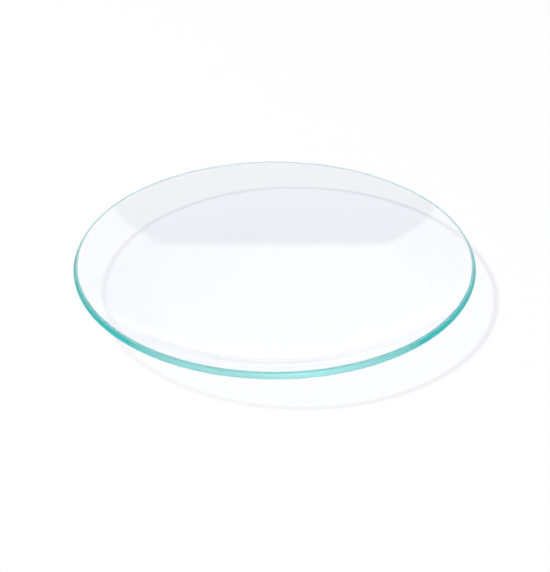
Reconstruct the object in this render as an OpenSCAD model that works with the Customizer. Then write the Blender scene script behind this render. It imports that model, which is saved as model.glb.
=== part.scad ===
// Watch glass: a round disc of clear glass, slumped to a shallow bowl. Its middle is gently
// curved, and its shoulder turns up more tightly to a ground and polished rim. It rests on
// the middle of its rounded underside, hollow side up, with the origin where it touches the
// bench.

/* [Dish] */
// Outside diameter across the widest line of the rim
rim_d = 130; // [60:1:200]
// Slope of the glass at its rim, from level
rim_slope = 32; // [24:1:45]
// Share of the hollow's radius that its gently curved middle takes
middle_share = 0.61; // [0.5:0.01:0.85]
// Slope of the glass where the middle meets the shoulder
middle_slope = 9; // [2:0.5:10]
// Thickness of the glass, the same all over
wall_t = 2.1; // [1.5:0.1:4]

/* [Edge] */
// Width that the arris on the hollow's side takes off each of the two faces that it joins
hollow_arris_w = 0.55; // [0.1:0.05:0.9]
// The same for the arris on the underside
under_arris_w = 0.35; // [0.1:0.05:0.5]

/* [Hidden] */

// Facets in a full turn of the rim and of each curve of the section
turn_facets = 256;

// Radii, from the axis, of the edge's two corners before the arrises are ground
underside_corner_r = rim_d / 2 + under_arris_w * sin(rim_slope);
hollow_corner_r = underside_corner_r - wall_t * sin(rim_slope);

// Radii of curvature of the hollow, in its middle and round its shoulder
middle_w = middle_share * hollow_corner_r;
middle_r = middle_w / sin(middle_slope);
shoulder_r = (hollow_corner_r - middle_w) / (sin(rim_slope) - sin(middle_slope));

// Centre of the shoulder's curve, from the centre of the middle's
shoulder_centre = (middle_r - shoulder_r) * [sin(middle_slope), -cos(middle_slope)];

// Size of the shapes that cut the section, which reach well past the glass
reach = 2 * (middle_r + wall_t);
glass_colour = [0.66, 0.90, 0.89, 0.35];

// Everything on the hollow's side of a face of the glass, that lies this far under the hollow
module above_face(depth) {
    intersection() {
        circle(r = middle_r + depth, $fn = turn_facets);
        polygon([[0, 0], [0, -reach], [reach * tan(middle_slope), -reach]]);
    }
    translate(shoulder_centre)
        circle(r = shoulder_r + depth, $fn = turn_facets);
}

// The side of the rim that is cut away to leave the edge square to the glass
module beyond_edge() {
    translate(shoulder_centre)
        rotate(rim_slope)
            translate([0, -reach])
                square([reach, 2 * reach]);
}

// A square on its corner, which grinds an arris of this width on the edge's corner at this depth
module arris_cutter(depth, width) {
    translate(shoulder_centre)
        rotate(rim_slope)
            translate([0, -shoulder_r - depth])
                rotate(45)
                    square(width * sqrt(2), center = true);
}

// Half of the dish's section: the axis is x = 0, and the middle's centre is the origin
module dish_section() {
    difference() {
        above_face(wall_t);
        above_face(0);
        beyond_edge();
        translate([-reach, -reach])
            square([reach, 2 * reach]);
        arris_cutter(wall_t, under_arris_w);
        arris_cutter(0, hollow_arris_w);
    }
}

// The slumped glass disc
module watch_glass() {
    color(glass_colour)
        translate([0, 0, middle_r + wall_t])
            rotate_extrude($fn = turn_facets)
                dish_section();
}

watch_glass();
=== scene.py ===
import math

import bmesh
import bpy
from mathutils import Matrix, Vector


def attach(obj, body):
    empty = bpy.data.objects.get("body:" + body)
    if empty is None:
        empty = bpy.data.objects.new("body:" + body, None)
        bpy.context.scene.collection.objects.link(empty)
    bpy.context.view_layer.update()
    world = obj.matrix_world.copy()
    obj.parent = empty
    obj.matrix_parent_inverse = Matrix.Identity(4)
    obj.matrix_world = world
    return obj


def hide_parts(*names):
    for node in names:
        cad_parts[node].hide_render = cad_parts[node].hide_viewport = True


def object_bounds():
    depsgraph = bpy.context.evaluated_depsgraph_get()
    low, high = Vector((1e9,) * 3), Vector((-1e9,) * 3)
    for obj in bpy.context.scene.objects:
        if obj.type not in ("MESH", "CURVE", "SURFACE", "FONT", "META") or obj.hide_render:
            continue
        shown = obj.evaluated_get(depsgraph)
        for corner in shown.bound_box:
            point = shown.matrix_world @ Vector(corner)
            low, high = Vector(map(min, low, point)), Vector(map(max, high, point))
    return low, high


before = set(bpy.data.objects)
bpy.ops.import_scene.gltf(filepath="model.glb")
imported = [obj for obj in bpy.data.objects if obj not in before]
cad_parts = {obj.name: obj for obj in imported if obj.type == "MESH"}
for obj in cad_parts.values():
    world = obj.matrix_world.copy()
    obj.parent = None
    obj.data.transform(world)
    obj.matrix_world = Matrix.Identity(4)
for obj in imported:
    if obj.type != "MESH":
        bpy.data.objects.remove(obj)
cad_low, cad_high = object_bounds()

# --- Sizes, in metres unless a name says otherwise ----------------------------------------------

MM = 0.001
GLASS_NODE = "watch_glass"
WHITE = (1, 1, 1, 1)

# The dish, as part.scad gives it: slopes from level, and the glass's even thickness
RIM_SLOPE = math.radians(32.0)
MIDDLE_SLOPE = math.radians(9.0)
MIDDLE_SHARE = 0.61
THICKNESS = 2.1 * MM
HOLLOW_ARRIS = 0.55 * MM
UNDER_ARRIS = 0.35 * MM
# How far the corners that the arrises leave are rounded
SOFTENING = 0.12 * MM

# Mesh rings between the axis and the edge. Ring k has this many times k vertices
RINGS = 84
RING_SIDES = 6
RIM_STEPS = RING_SIDES * RINGS
# Steps round each of the edge's soft corners
CORNER_STEPS = 4

# Soda-lime glass: how it bends light, and the colour that it leaves and how strongly, per metre
GLASS_IOR = 1.52
GLASS_COLOUR = (0.10, 0.86, 0.82, 1)
GLASS_DENSITY = 7.0
# The mesh attributes that mark the edge and its arrises, and how satin each is ground
EDGE = "edge"
ARRIS = "arris"
EDGE_ROUGHNESS = 0.38
ARRIS_ROUGHNESS = 0.75
# The wheel's marks on the ground edge: how many in a metre, how deep, how uneven its satin is
GRAIN_PER_METRE = 1600.0
GRAIN_DEPTH = 0.0003 * MM
GRAIN_SHARE = 0.12
# The slumped faces' slight waviness: how many in a metre, and its height as a share of the grain's
WAVES_PER_METRE = 45.0
WAVES_SHARE = 0.5
NOISE_DETAIL = 3.0
# How much of each colour gets past two crossings of a polished face
FACE_TINT = (0.951, 0.946, 0.980, 1)
# The same for the edge and its arrises where they are seen aslant. This is painted shade: the
# darker sides of the rim's band, which come from how light runs through the glass, are painted into
# the colour. A higher power brings the tint on later, and the factor is what it would come to
# edge-on if it didn't stop at 1
EDGE_ASLANT_SHADE = (0.0, 0.42, 0.41, 1)
EDGE_SHADE_POWER = 0.92
EDGE_SHADE_FACTOR = 3.6
ARRIS_ASLANT_SHADE = (0.52, 0.70, 0.73, 1)
ARRIS_SHADE_POWER = 4.0
ARRIS_SHADE_FACTOR = 6.0

# Camera: height above the bench and distance, both seen from the point that it aims at
CAMERA_ELEVATION = math.radians(33.49)
CAMERA_DISTANCE = 0.3715
CAMERA_LENS_MM = 70.0
CAMERA_CLIP_START = 0.01
AIM = Vector((0.0001, 0.00122, 0.0))

FLOOR_RADIUS = 2.5
FLOOR_STEPS = 128
FLOOR_COLOUR = (0.9, 0.9, 0.9, 1)
# Lamps: the key throws the rim's line on the bench, and the fill evens the bench out
KEY_POSITION = Vector((-1.89, -0.70, 3.20))
KEY_RADIUS = 0.120
KEY_POWER = 30.0
FILL_POSITION = Vector((0.0, 0.0, 12.0))
FILL_RADIUS = 4.5
FILL_POWER = 1512.0
# How many times light may be mirrored in the glass, or pass its faces
GLASS_BOUNCES = 96

# The ring that throws the line: where it runs, how thick it is, and how finely it is cut
LINE_RADIUS = 65.1 * MM
LINE_HEIGHT = 13.6 * MM
LINE_THICKNESS = 1.5 * MM
LINE_STEPS = 240
LINE_SIDES = 12
# The bearing where the ring is clearest, how far it is clear there, and how sharply that falls off
# round it. Light crosses two skins of the ring, so its mesh attribute holds the root for each skin
LINE_FAINT_SIDE = math.radians(238)
LINE_FADE = 0.42
LINE_FADE_POWER = 5
PASSES = "passes"
# How much of each colour gets past one skin of the ring where it isn't clear at all
LINE_TINT = (0.38, 0.34, 0.60, 1)
# How much of the key's light gets past the clear glass inside the ring
SHADE_TINT = (0.90, 0.92, 1.0, 1)

# The studio: how high its walls reach above the horizon. Behind the dish they stop lower: that dip
# is full at the inner of these turns away from straight behind it, and ends at the outer. Within
# the inner one a hump rises again
WALL_TOP = math.radians(44.5)
WALL_DIP = math.radians(3.7)
DIP_INNER = math.radians(5.3)
DIP_OUTER = math.radians(21)
HUMP_RISE = math.radians(1.3)
# How far above and below their top the walls blend into the ceiling
WALL_BLUR = math.radians(1.0)
# Brightness of the walls straight behind the dish, and their share of it elsewhere, with the
# turns between which they fade to that
WALL_LIGHT = 1.38
WALL_SIDE_SHARE = 0.85
FADE_START = math.radians(3)
FADE_END = math.radians(26)
# The gap between two of them, to the right of straight behind, where they are dimmer: how far
# round it is, how far on each side it is full and how far it reaches, and the share that it takes
GAP_TURN = math.radians(10)
GAP_FULL = math.radians(2)
GAP_REACH = math.radians(11)
GAP_LOSS = 0.22
# What the walls behind the dish gain at their foot, and the heights between which that is lost
FOOT_LIGHT = 0.12
FOOT_TOP = math.radians(1)
FOOT_LOST = math.radians(15)
# Brightness of the ceiling at its edge and in its middle
CEILING_EDGE = 0.32
CEILING_MIDDLE = 0.36
STUDIO_TINT = (0.985, 0.985, 0.98, 1)


def add(name, data):
    """Puts an object with this data in the scene."""
    thing = bpy.data.objects.new(name, data)
    bpy.context.scene.collection.objects.link(thing)
    return thing


# --- The dish ------------------------------------------------------------------------------------

class Dish:
    """The dish's section: a gently curved middle, a tighter shoulder, an edge square to both."""

    def __init__(self, rim_radius):
        hollow_corner = rim_radius + (UNDER_ARRIS - THICKNESS) * math.sin(RIM_SLOPE)
        middle_width = MIDDLE_SHARE * hollow_corner
        shoulder_width = hollow_corner - middle_width
        # The hollow's radii of curvature, and the centres of its two curves
        self.middle = middle_width / math.sin(MIDDLE_SLOPE)
        self.shoulder = shoulder_width / (math.sin(RIM_SLOPE) - math.sin(MIDDLE_SLOPE))
        self.middle_z = self.middle + THICKNESS
        between = self.middle - self.shoulder
        self.shoulder_x = between * math.sin(MIDDLE_SLOPE)
        self.shoulder_z = self.middle_z - between * math.cos(MIDDLE_SLOPE)

    def face(self, depth, share, last_slope):
        """A point of a face that lies depth under the hollow, and its normal away from that."""
        middle = self.middle + depth
        shoulder = self.shoulder + depth
        bend = middle * MIDDLE_SLOPE
        along = share * (bend + shoulder * (last_slope - MIDDLE_SLOPE))
        if along <= bend:
            slope = along / middle
            x, z, radius = 0.0, self.middle_z, middle
        else:
            slope = MIDDLE_SLOPE + (along - bend) / shoulder
            x, z, radius = self.shoulder_x, self.shoulder_z, shoulder
        normal = (math.sin(slope), -math.cos(slope))
        return (x + radius * normal[0], z + radius * normal[1]), normal

    def last_slope(self, depth, arris):
        """The slope at which a face stops, to leave room for its arris and its soft corner."""
        return RIM_SLOPE - (arris + SOFTENING * math.tan(math.pi / 8)) / (self.shoulder + depth)

    def corner(self, inward, depth, first, last):
        """Points round a soft corner centred this far inward from the edge, at this depth."""
        radius = self.shoulder + depth
        x = self.shoulder_x + radius * math.sin(RIM_SLOPE) - inward * math.cos(RIM_SLOPE)
        z = self.shoulder_z - radius * math.cos(RIM_SLOPE) - inward * math.sin(RIM_SLOPE)
        for step in range(CORNER_STEPS + 1):
            a = first + (last - first) * step / CORNER_STEPS
            normal = (math.cos(a), math.sin(a))
            yield (x + SOFTENING * normal[0], z + SOFTENING * normal[1]), normal

    def edge(self):
        """Points over the edge and its arrises, from the hollow's face to the underside's."""
        out = RIM_SLOPE
        eighth = math.pi / 4
        beside = SOFTENING * (math.sqrt(2) - 1)
        hollow_w = HOLLOW_ARRIS + beside
        under_w = UNDER_ARRIS + beside
        points = []
        points += self.corner(hollow_w, SOFTENING, out + 2 * eighth, out + eighth)
        points += self.corner(SOFTENING, hollow_w, out + eighth, out)
        points += self.corner(SOFTENING, THICKNESS - UNDER_ARRIS - beside, out, out - eighth)
        points += self.corner(under_w, THICKNESS - SOFTENING, out - eighth, out - 2 * eighth)
        return points


def ring(verts, normals, point, normal, count):
    """Adds a ring of count vertices at the section's point, and returns their indices."""
    first = len(verts)
    for i in range(count):
        a = 2 * math.pi * i / count
        verts.append((point[0] * math.cos(a), point[0] * math.sin(a), point[1]))
        normals.append((normal[0] * math.cos(a), normal[0] * math.sin(a), normal[1]))
    return list(range(first, first + count))


def cap(verts, normals, faces, section, flip):
    """A cap of even triangles round one middle vertex. Returns its outermost ring."""
    point, normal = section(0)
    inner = ring(verts, normals, point, normal, 1)
    for k in range(1, RINGS + 1):
        point, normal = section(k)
        outer = ring(verts, normals, point, normal, RING_SIDES * k)
        for side in range(RING_SIDES):
            for j in range(k):
                a = outer[side * k + j]
                b = outer[(side * k + j + 1) % len(outer)]
                c = inner[(side * (k - 1) + j) % len(inner)]
                faces.append((a, b, c) if not flip else (b, a, c))
                if j:
                    d = inner[side * (k - 1) + j - 1]
                    faces.append((a, c, d) if not flip else (c, a, d))
        inner = outer
    return inner


def bridge(faces, upper, lower):
    """Joins two rings of the same count with quads that face outwards."""
    count = len(upper)
    for i in range(count):
        j = (i + 1) % count
        faces.append((upper[i], lower[i], lower[j], upper[j]))


def paint_strips(mesh, name, starts):
    """Marks the rings of faces that begin at these indices with 1 in the named attribute."""
    marks = mesh.attributes.get(name) or mesh.attributes.new(name, "FLOAT", "FACE")
    for start in starts:
        for index in range(start, start + RIM_STEPS):
            marks.data[index].value = 1.0


def build_dish(dish):
    """The dish as one closed mesh: two caps and the edge's strips of quads, with true normals."""
    verts = []
    normals = []
    faces = []
    inner_limit = dish.last_slope(0.0, HOLLOW_ARRIS)
    outer_limit = dish.last_slope(THICKNESS, UNDER_ARRIS)

    def hollow(k):
        point, normal = dish.face(0.0, k / RINGS, inner_limit)
        return point, (-normal[0], -normal[1])

    def underside(k):
        return dish.face(THICKNESS, k / RINGS, outer_limit)

    last = cap(verts, normals, faces, hollow, False)
    strips = []
    for point, normal in dish.edge():
        now = ring(verts, normals, point, normal, RIM_STEPS)
        strips.append(len(faces))
        bridge(faces, last, now)
        last = now
    strips.append(len(faces))
    bridge(faces, last, cap(verts, normals, faces, underside, True))
    mesh = bpy.data.meshes.new("watch_glass_body")
    mesh.from_pydata(verts, [], faces)
    # The edge and its arrises meet halfway round the soft corners
    corner = CORNER_STEPS + 1
    half = CORNER_STEPS // 2
    arris_start = corner - half
    edge_start = 2 * corner - half
    edge_end = 2 * corner + half + 1
    arris_end = 3 * corner + half + 1
    paint_strips(mesh, EDGE, strips[edge_start:edge_end])
    paint_strips(mesh, ARRIS, strips[arris_start:edge_start])
    paint_strips(mesh, ARRIS, strips[edge_end:arris_end])
    mesh.shade_smooth()
    mesh.normals_split_custom_set_from_vertices(normals)
    mesh.validate()
    return mesh


# --- Materials -----------------------------------------------------------------------------------

class Graph:
    """The node tree of a material or a world. Values are numbers, colours or nodes' outputs."""

    def __init__(self, owner):
        owner.use_nodes = True
        self.nodes = owner.node_tree.nodes
        self.links = owner.node_tree.links

    def feed(self, socket, value):
        """Gives the socket its value, by a link where that is another node's output."""
        if isinstance(value, bpy.types.NodeSocket):
            self.links.new(value, socket)
        else:
            socket.default_value = value

    def maths(self, operation, *values):
        node = self.nodes.new("ShaderNodeMath")
        node.operation = operation
        for socket, value in zip(node.inputs, values):
            self.feed(socket, value)
        return node.outputs["Value"]

    def ramp(self, *values):
        """Follows a value between its two limits with a smooth step between two results."""
        node = self.nodes.new("ShaderNodeMapRange")
        node.interpolation_type = "SMOOTHSTEP"
        for socket, value in zip(node.inputs, values):
            self.feed(socket, value)
        return node.outputs["Result"]

    def mix(self, share, first, second):
        """A colour that has this share of the second in the first."""
        node = self.nodes.new("ShaderNodeMix")
        node.data_type = "RGBA"
        self.feed(node.inputs["Factor"], share)
        self.feed(node.inputs["A"], first)
        self.feed(node.inputs["B"], second)
        return node.outputs["Result"]

    def attribute(self, name):
        node = self.nodes.new("ShaderNodeAttribute")
        node.attribute_name = name
        return node.outputs["Fac"]

    def noise(self, place, per_metre):
        node = self.nodes.new("ShaderNodeTexNoise")
        node.inputs["Scale"].default_value = per_metre
        node.inputs["Detail"].default_value = NOISE_DETAIL
        self.links.new(place, node.inputs["Vector"])
        return node.outputs["Fac"]


def glass_material():
    """Clear soda-lime glass. Its ground edge and arrises are satin, with painted shade where they
    are seen aslant.
    """
    material = bpy.data.materials.new("clear_soda_lime_glass")
    graph = Graph(material)
    graph.nodes.clear()
    output = graph.nodes.new("ShaderNodeOutputMaterial")
    shader = graph.nodes.new("ShaderNodeBsdfPrincipled")
    shader.inputs["IOR"].default_value = GLASS_IOR
    shader.inputs["Transmission Weight"].default_value = 1.0
    edge = graph.attribute(EDGE)
    arris = graph.attribute(ARRIS)

    place = graph.nodes.new("ShaderNodeTexCoord").outputs["Object"]
    grain = graph.noise(place, GRAIN_PER_METRE)
    waves = graph.maths("MULTIPLY", graph.noise(place, WAVES_PER_METRE), WAVES_SHARE)
    bump = graph.nodes.new("ShaderNodeBump")
    bump.inputs["Distance"].default_value = GRAIN_DEPTH
    ground = graph.maths("MULTIPLY", grain, edge)
    graph.feed(bump.inputs["Height"], graph.maths("ADD", ground, waves))
    graph.feed(shader.inputs["Normal"], bump.outputs["Normal"])

    edge_satin = graph.maths("MULTIPLY", edge, EDGE_ROUGHNESS)
    arris_satin = graph.maths("MULTIPLY", arris, ARRIS_ROUGHNESS)
    satin = graph.maths("ADD", edge_satin, arris_satin)
    uneven = graph.maths("ADD", graph.maths("MULTIPLY", grain, 2 * GRAIN_SHARE), 1.0 - GRAIN_SHARE)
    graph.feed(shader.inputs["Roughness"], graph.maths("MULTIPLY", satin, uneven))

    aslant = graph.nodes.new("ShaderNodeLayerWeight").outputs["Facing"]

    def shaded_aslant(below, part, tint, power, factor):
        """Mixes in a darker tint, as painted shade, where this part of the surface is seen aslant.
        """
        strength = graph.maths("MULTIPLY", graph.maths("POWER", aslant, power), factor)
        limited = graph.maths("MINIMUM", strength, 1.0)
        return graph.mix(graph.maths("MULTIPLY", limited, part), below, tint)

    # Painted shade: the edge and arrises are darkened where seen aslant, for the darker sides of
    # the rim's band
    colour = shaded_aslant(FACE_TINT, edge, EDGE_ASLANT_SHADE, EDGE_SHADE_POWER, EDGE_SHADE_FACTOR)
    colour = shaded_aslant(colour, arris, ARRIS_ASLANT_SHADE, ARRIS_SHADE_POWER, ARRIS_SHADE_FACTOR)
    graph.feed(shader.inputs["Base Color"], colour)
    absorb = graph.nodes.new("ShaderNodeVolumeAbsorption")
    absorb.inputs["Color"].default_value = GLASS_COLOUR
    absorb.inputs["Density"].default_value = GLASS_DENSITY
    graph.feed(output.inputs["Surface"], shader.outputs["BSDF"])
    graph.feed(output.inputs["Volume"], absorb.outputs["Volume"])
    return material


def floor_material():
    """Matt white, which mirrors nothing."""
    material = bpy.data.materials.new("white_bench")
    shader = Graph(material).nodes["Principled BSDF"]
    shader.inputs["Base Color"].default_value = FLOOR_COLOUR
    shader.inputs["Roughness"].default_value = 1.0
    shader.inputs["Specular IOR Level"].default_value = 0.0
    return material


# --- Light ---------------------------------------------------------------------------------------

def soft_lamp(name, place, radius, power):
    """A round lamp that faces the dish. The glass doesn't mirror it."""
    data = bpy.data.lights.new(name, "AREA")
    data.shape = "DISK"
    data.size = 2 * radius
    data.energy = power
    lamp = add(name, data)
    lamp.location = place
    lamp.rotation_mode = "QUATERNION"
    lamp.rotation_quaternion = (-place).to_track_quat("-Z", "Y")
    lamp.visible_glossy = False
    lamp.visible_transmission = False
    return lamp


def pass_through(lamp, clear):
    """Lets the lamp's light through these objects, as clear glass does, without a shadow."""
    group = bpy.data.collections.new(lamp.name + "_passes")
    for index, thing in enumerate(clear):
        group.objects.link(thing)
        group.collection_objects[index].light_linking.link_state = "EXCLUDE"
    lamp.light_linking.blocker_collection = group


def veil_material(name, tint, passes=None):
    """Each skin lets this share of the light through, or all of it where the attribute is 1."""
    material = bpy.data.materials.new(name)
    graph = Graph(material)
    graph.nodes.clear()
    output = graph.nodes.new("ShaderNodeOutputMaterial")
    veil = graph.nodes.new("ShaderNodeBsdfTransparent")
    colour = tint if passes is None else graph.mix(graph.attribute(passes), tint, WHITE)
    graph.feed(veil.inputs["Color"], colour)
    graph.feed(output.inputs["Surface"], veil.outputs["BSDF"])
    return material


def shadow_caster(name, bm, material):
    """Makes an object of which only the shadow shows: neither the camera nor the glass sees it."""
    mesh = bpy.data.meshes.new(name)
    bm.to_mesh(mesh)
    bm.free()
    mesh.materials.append(material)
    caster = add(name, mesh)
    caster.visible_camera = False
    caster.visible_diffuse = False
    caster.visible_glossy = False
    caster.visible_transmission = False
    caster.visible_volume_scatter = False
    return caster


def rim_line_caster():
    """A ring along the rim that only lamps meet, for the dark line that a glass edge throws."""
    bm = bmesh.new()
    rows = []
    for i in range(LINE_STEPS):
        a = 2 * math.pi * i / LINE_STEPS
        row = []
        for j in range(LINE_SIDES):
            b = 2 * math.pi * j / LINE_SIDES
            r = LINE_RADIUS + LINE_THICKNESS / 2 * math.cos(b)
            z = LINE_HEIGHT + LINE_THICKNESS / 2 * math.sin(b)
            row.append(bm.verts.new((r * math.cos(a), r * math.sin(a), z)))
        rows.append(row)
    for i in range(LINE_STEPS):
        row = rows[i]
        following = rows[(i + 1) % LINE_STEPS]
        for j in range(LINE_SIDES):
            k = (j + 1) % LINE_SIDES
            bm.faces.new((row[j], following[j], following[k], row[k]))
    caster = shadow_caster("rim_line", bm, veil_material("rim_line_dark", LINE_TINT, PASSES))
    passes = caster.data.attributes.new(PASSES, "FLOAT", "POINT")
    for index, vertex in enumerate(caster.data.vertices):
        turn = math.atan2(vertex.co.y, vertex.co.x) - LINE_FAINT_SIDE
        nearness = (1 + math.cos(turn)) / 2
        passes.data[index].value = math.sqrt(LINE_FADE * nearness ** LINE_FADE_POWER)
    return caster


def tint_caster():
    """A disc inside the rim that only the key lamp meets, for the glass's slight shade."""
    bm = bmesh.new()
    bmesh.ops.create_circle(bm, cap_ends=True, segments=LINE_STEPS, radius=LINE_RADIUS)
    caster = shadow_caster("glass_shade", bm, veil_material("glass_shade_tint", SHADE_TINT))
    caster.location.z = LINE_HEIGHT
    return caster


def studio_world():
    """White walls, brightest behind the dish, under a darker ceiling. The bench isn't lit by it."""
    world = bpy.data.worlds.new("studio")
    bpy.context.scene.world = world
    graph = Graph(world)
    maths = graph.maths
    split = graph.nodes.new("ShaderNodeSeparateXYZ")
    place = graph.nodes.new("ShaderNodeTexCoord")
    graph.feed(split.inputs["Vector"], place.outputs["Generated"])
    x, y, z = (split.outputs[axis] for axis in "XYZ")
    # Angles: to the right of straight behind, away from it on either side, and up from level
    bearing = maths("ARCTAN2", x, y)
    turn = maths("ABSOLUTE", bearing)
    height = maths("ARCSINE", z)

    within_dip = maths("SUBTRACT", maths("MINIMUM", turn, DIP_OUTER), DIP_INNER)
    out_of_dip = maths("MULTIPLY", maths("DIVIDE", within_dip, DIP_OUTER - DIP_INNER), WALL_DIP)
    off_hump = maths("DIVIDE", maths("MINIMUM", turn, DIP_INNER), DIP_INNER)
    hump = maths("MULTIPLY", maths("POWER", off_hump, 2.0), -HUMP_RISE)
    lowest = maths("ADD", WALL_TOP - WALL_DIP + HUMP_RISE, hump)
    top = maths("ADD", lowest, maths("MAXIMUM", out_of_dip, 0.0))
    over = maths("SUBTRACT", height, top)

    behind = graph.ramp(turn, FADE_START, FADE_END, 1.0, 0.0)
    share = graph.ramp(behind, 0.0, 1.0, WALL_SIDE_SHARE, 1.0)
    foot = maths("MULTIPLY", behind, graph.ramp(height, FOOT_TOP, FOOT_LOST, FOOT_LIGHT, 0.0))
    off_gap = maths("ABSOLUTE", maths("SUBTRACT", bearing, GAP_TURN))
    in_gap = (1.0 - GAP_LOSS) * WALL_LIGHT
    light = graph.ramp(off_gap, GAP_FULL, GAP_REACH, in_gap, WALL_LIGHT)
    wall = maths("MULTIPLY", light, maths("ADD", share, foot))

    zenith = math.pi / 2 - WALL_TOP
    ceiling = graph.ramp(over, 0.0, zenith, CEILING_EDGE, CEILING_MIDDLE)
    overhead = graph.ramp(over, -WALL_BLUR, WALL_BLUR, 0.0, 1.0)
    from_ceiling = maths("MULTIPLY", ceiling, overhead)
    from_wall = maths("MULTIPLY", wall, maths("SUBTRACT", 1.0, overhead))
    background = graph.nodes["Background"]
    background.inputs["Color"].default_value = STUDIO_TINT
    graph.feed(background.inputs["Strength"], maths("ADD", from_ceiling, from_wall))
    world.cycles_visibility.diffuse = False


# --- Scene ---------------------------------------------------------------------------------------

dish_object = add("glass_dish", build_dish(Dish((cad_high.x - cad_low.x) / 2)))
dish_object.data.materials.append(glass_material())
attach(dish_object, "root")
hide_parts(GLASS_NODE)

bpy.ops.mesh.primitive_circle_add(vertices=FLOOR_STEPS, radius=FLOOR_RADIUS, fill_type="NGON")
floor = bpy.context.object
floor.name = "bench"
floor.data.materials.append(floor_material())

rim_line = rim_line_caster()
glass_shade = tint_caster()

key = soft_lamp("key", KEY_POSITION, KEY_RADIUS, KEY_POWER)
fill = soft_lamp("fill", FILL_POSITION, FILL_RADIUS, FILL_POWER)
pass_through(key, [dish_object])
pass_through(fill, [dish_object, rim_line, glass_shade])
studio_world()

camera_data = bpy.data.cameras.new("camera")
camera_data.lens = CAMERA_LENS_MM
camera_data.clip_start = CAMERA_CLIP_START
camera = add("camera", camera_data)
back = Vector((0, -math.cos(CAMERA_ELEVATION), math.sin(CAMERA_ELEVATION)))
camera.location = AIM + CAMERA_DISTANCE * back
camera.rotation_mode = "QUATERNION"
camera.rotation_quaternion = (-back).to_track_quat("-Z", "Y")
bpy.context.scene.camera = camera

scene = bpy.context.scene
scene.view_settings.view_transform = "Standard"
scene.cycles.max_bounces = GLASS_BOUNCES
scene.cycles.diffuse_bounces = 0
scene.cycles.transmission_bounces = GLASS_BOUNCES
scene.cycles.glossy_bounces = GLASS_BOUNCES
scene.cycles.volume_bounces = 0
scene.cycles.blur_glossy = 0.0

bpy.context.view_layer.update()
